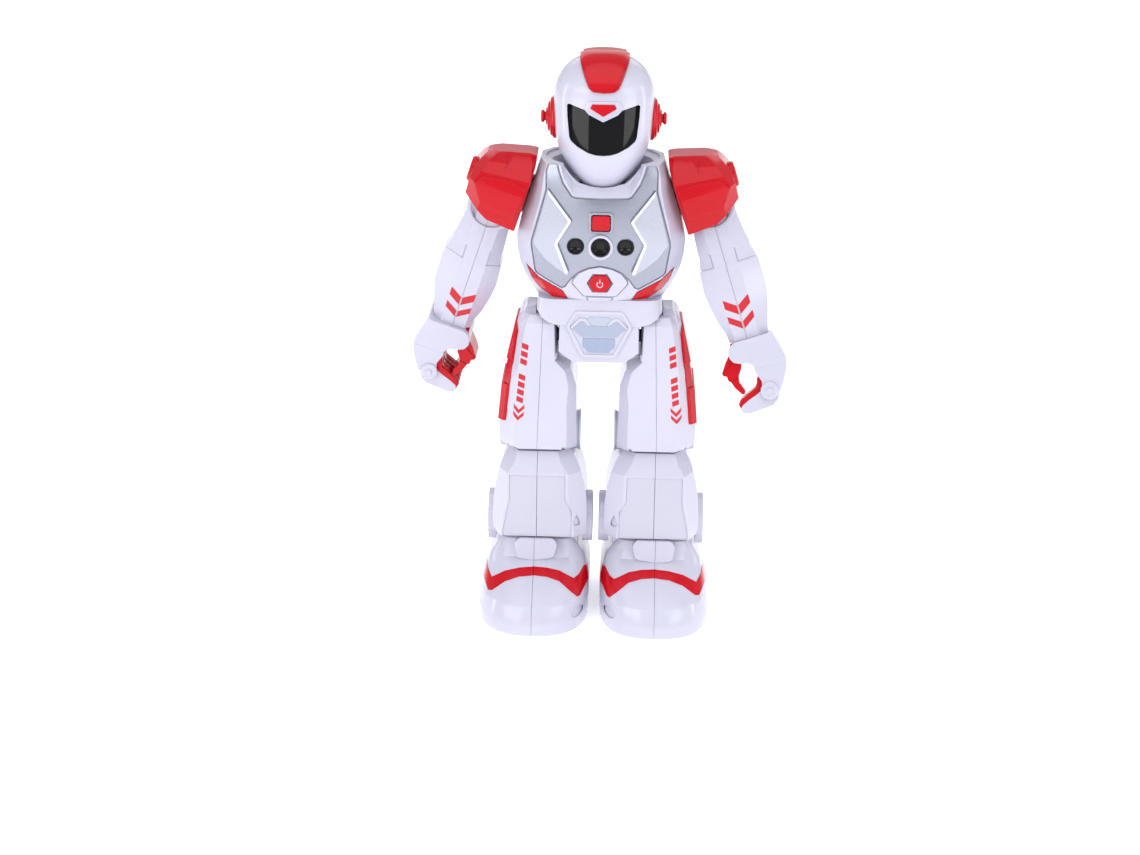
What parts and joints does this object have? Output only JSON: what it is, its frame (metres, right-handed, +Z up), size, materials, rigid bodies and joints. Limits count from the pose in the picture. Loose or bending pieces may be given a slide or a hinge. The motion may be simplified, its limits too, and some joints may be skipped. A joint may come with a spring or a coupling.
{
  "type": "walking humanoid robot",
  "caption": "Free-standing toy robot with turning head, jointed arms with gripping hands, swinging legs and wheeled boots.",
  "frame": {"origin": "on the floor, in the middle of the bounding box", "axes": "+Z up, the face looks along -Y, +X is the robot's own left"},
  "size_m": [0.1714, 0.08, 0.265],
  "materials": {
    "white": "glossy moulded white plastic",
    "red": "glossy moulded red plastic",
    "silver": "silver metallic painted plastic",
    "visor_black": "polished black translucent plastic",
    "panel_grey": "satin pale blue-grey plastic",
    "mech_grey": "matte dark grey plastic",
    "board": "green circuit board",
    "cells": "blue shrink sleeve on battery cells",
    "screw_steel": "zinc plated steel",
    "wheel_rubber": "black rubber"
  },
  "bodies": {
    "trunk": {"torso_front_shell": "white", "torso_back_shell": "white", "chest_plate": "silver", "belly_panel": "white", "waist_accents": "red", "chest_lenses": "visor_black", "lens_ring": "white", "pelvis_front_shell": "white", "pelvis_back_shell": "white", "pelvis_emblem": "panel_grey", "main_board": "board", "battery_pack": "cells", "battery_cover": "white", "speaker": "mech_grey", "charge_socket": "mech_grey", "leg_gearbox": "mech_grey", "body_screws": "screw_steel"},
    "square_button": {"square_button": "red"},
    "power_button": {"power_button": "red"},
    "head": {"helmet_front": "white", "helmet_back": "white", "visor": "visor_black", "crest": "red", "brow_gem": "red", "ear_pods": "red", "neck_post": "white"},
    "left_shoulder": {"left_shoulder_pad": "red", "left_shoulder_hub": "red"},
    "left_arm": {"left_arm_outer": "white", "left_arm_inner": "white"},
    "left_hand": {"left_hand_shell": "white", "left_thumb": "red"},
    "left_finger_set": {"left_fingers": "red", "left_finger_cover": "white"},
    "left_thigh": {"left_thigh_outer": "white", "left_thigh_inner": "white", "left_thigh_strip": "red"},
    "left_shin": {"left_shin_outer": "white", "left_shin_inner": "white"},
    "left_foot": {"left_boot_outer": "white", "left_boot_inner": "white", "left_boot_stripe": "red"},
    "left_wheelset": {"left_wheels": "wheel_rubber"},
    "right_shoulder": {"right_shoulder_pad": "red", "right_shoulder_hub": "red"},
    "right_arm": {"right_arm_outer": "white", "right_arm_inner": "white"},
    "right_hand": {"right_hand_shell": "white", "right_thumb": "red"},
    "right_finger_set": {"right_fingers": "red", "right_finger_cover": "white"},
    "right_thigh": {"right_thigh_outer": "white", "right_thigh_inner": "white", "right_thigh_strip": "red"},
    "right_shin": {"right_shin_outer": "white", "right_shin_inner": "white"},
    "right_foot": {"right_boot_outer": "white", "right_boot_inner": "white", "right_boot_stripe": "red"},
    "right_wheelset": {"right_wheels": "wheel_rubber"}
  },
  "joints": [
    {"name": "head_yaw", "type": "hinge", "parent": "trunk", "child": "head", "pos_m": [0, 0.004, 0.205], "axis": [0, 0, 1], "range_deg": [-30, 30]},
    {"name": "square_button_press", "type": "slide", "parent": "trunk", "child": "square_button", "axis": [0, 1, 0], "range_m": [0, 0.001], "stiffness_N_per_m": 400},
    {"name": "power_button_press", "type": "slide", "parent": "trunk", "child": "power_button", "axis": [0, 1, 0], "range_m": [0, 0.001], "stiffness_N_per_m": 400},
    {"name": "left_shoulder_turn", "type": "hinge", "parent": "trunk", "child": "left_shoulder", "pos_m": [0.046, 0.004, 0.2028], "axis": [-0.9511, 0, -0.309], "range_deg": [-60, 120]},
    {"name": "left_arm_swing", "type": "hinge", "parent": "left_shoulder", "child": "left_arm", "pos_m": [0.046, 0.004, 0.2028], "axis": [-0.9511, 0, -0.309], "range_deg": [-33, 7]},
    {"name": "left_wrist_twist", "type": "hinge", "parent": "left_arm", "child": "left_hand", "pos_m": [0.06833, -0.01197, 0.13731], "axis": [-0.3011, 0.225, 0.9267], "range_deg": [-60, 60]},
    {"name": "left_finger_curl", "type": "hinge", "parent": "left_hand", "child": "left_finger_set", "pos_m": [0.07808, -0.01748, 0.11538], "axis": [-0.0695, -0.9744, 0.2139], "range_deg": [0, 50]},
    {"name": "left_hip_swing", "type": "hinge", "parent": "trunk", "child": "left_thigh", "pos_m": [0.027, 0.004, 0.133], "axis": [-1, 0, 0], "range_deg": [-7, 7]},
    {"name": "left_knee", "type": "hinge", "parent": "left_thigh", "child": "left_shin", "pos_m": [0.027, 0.004, 0.087], "axis": [-1, 0, 0], "range_deg": [-2.8, 2.8]},
    {"name": "left_ankle", "type": "hinge", "parent": "left_shin", "child": "left_foot", "pos_m": [0.027, 0.004, 0.0445], "axis": [-1, 0, 0], "range_deg": [-4.2, 4.2]},
    {"name": "left_wheel_spin", "type": "hinge", "parent": "left_foot", "child": "left_wheelset", "pos_m": [0.028, 0.018, 0.0043], "axis": [1, 0, 0], "continuous": true},
    {"name": "right_shoulder_turn", "type": "hinge", "parent": "trunk", "child": "right_shoulder", "pos_m": [-0.046, 0.004, 0.2028], "axis": [-0.9511, 0, 0.309], "range_deg": [-60, 120]},
    {"name": "right_arm_swing", "type": "hinge", "parent": "right_shoulder", "child": "right_arm", "pos_m": [-0.046, 0.004, 0.2028], "axis": [-0.9511, 0, 0.309], "range_deg": [-11.5, 28.5]},
    {"name": "right_wrist_twist", "type": "hinge", "parent": "right_arm", "child": "right_hand", "pos_m": [-0.06865, 0.01449, 0.13633], "axis": [0.3056, -0.1478, 0.9406], "range_deg": [-60, 60]},
    {"name": "right_finger_curl", "type": "hinge", "parent": "right_hand", "child": "right_finger_set", "pos_m": [-0.07852, 0.01812, 0.11405], "axis": [0.0457, 0.989, 0.1406], "range_deg": [0, 50]},
    {"name": "right_hip_swing", "type": "hinge", "parent": "trunk", "child": "right_thigh", "pos_m": [-0.027, 0.004, 0.133], "axis": [-1, 0, 0], "range_deg": [-7, 7]},
    {"name": "right_knee", "type": "hinge", "parent": "right_thigh", "child": "right_shin", "pos_m": [-0.027, 0.004, 0.087], "axis": [-1, 0, 0], "range_deg": [-2.8, 2.8]},
    {"name": "right_ankle", "type": "hinge", "parent": "right_shin", "child": "right_foot", "pos_m": [-0.027, 0.004, 0.0445], "axis": [-1, 0, 0], "range_deg": [-4.2, 4.2]},
    {"name": "right_wheel_spin", "type": "hinge", "parent": "right_foot", "child": "right_wheelset", "pos_m": [-0.028, 0.018, 0.0043], "axis": [1, 0, 0], "continuous": true}
  ],
  "couplings": [
    {"joint": "left_knee", "follows": "left_hip_swing", "ratio": -0.4},
    {"joint": "left_ankle", "follows": "left_hip_swing", "ratio": -0.6},
    {"joint": "right_knee", "follows": "right_hip_swing", "ratio": -0.4},
    {"joint": "right_ankle", "follows": "right_hip_swing", "ratio": -0.6}
  ]
}
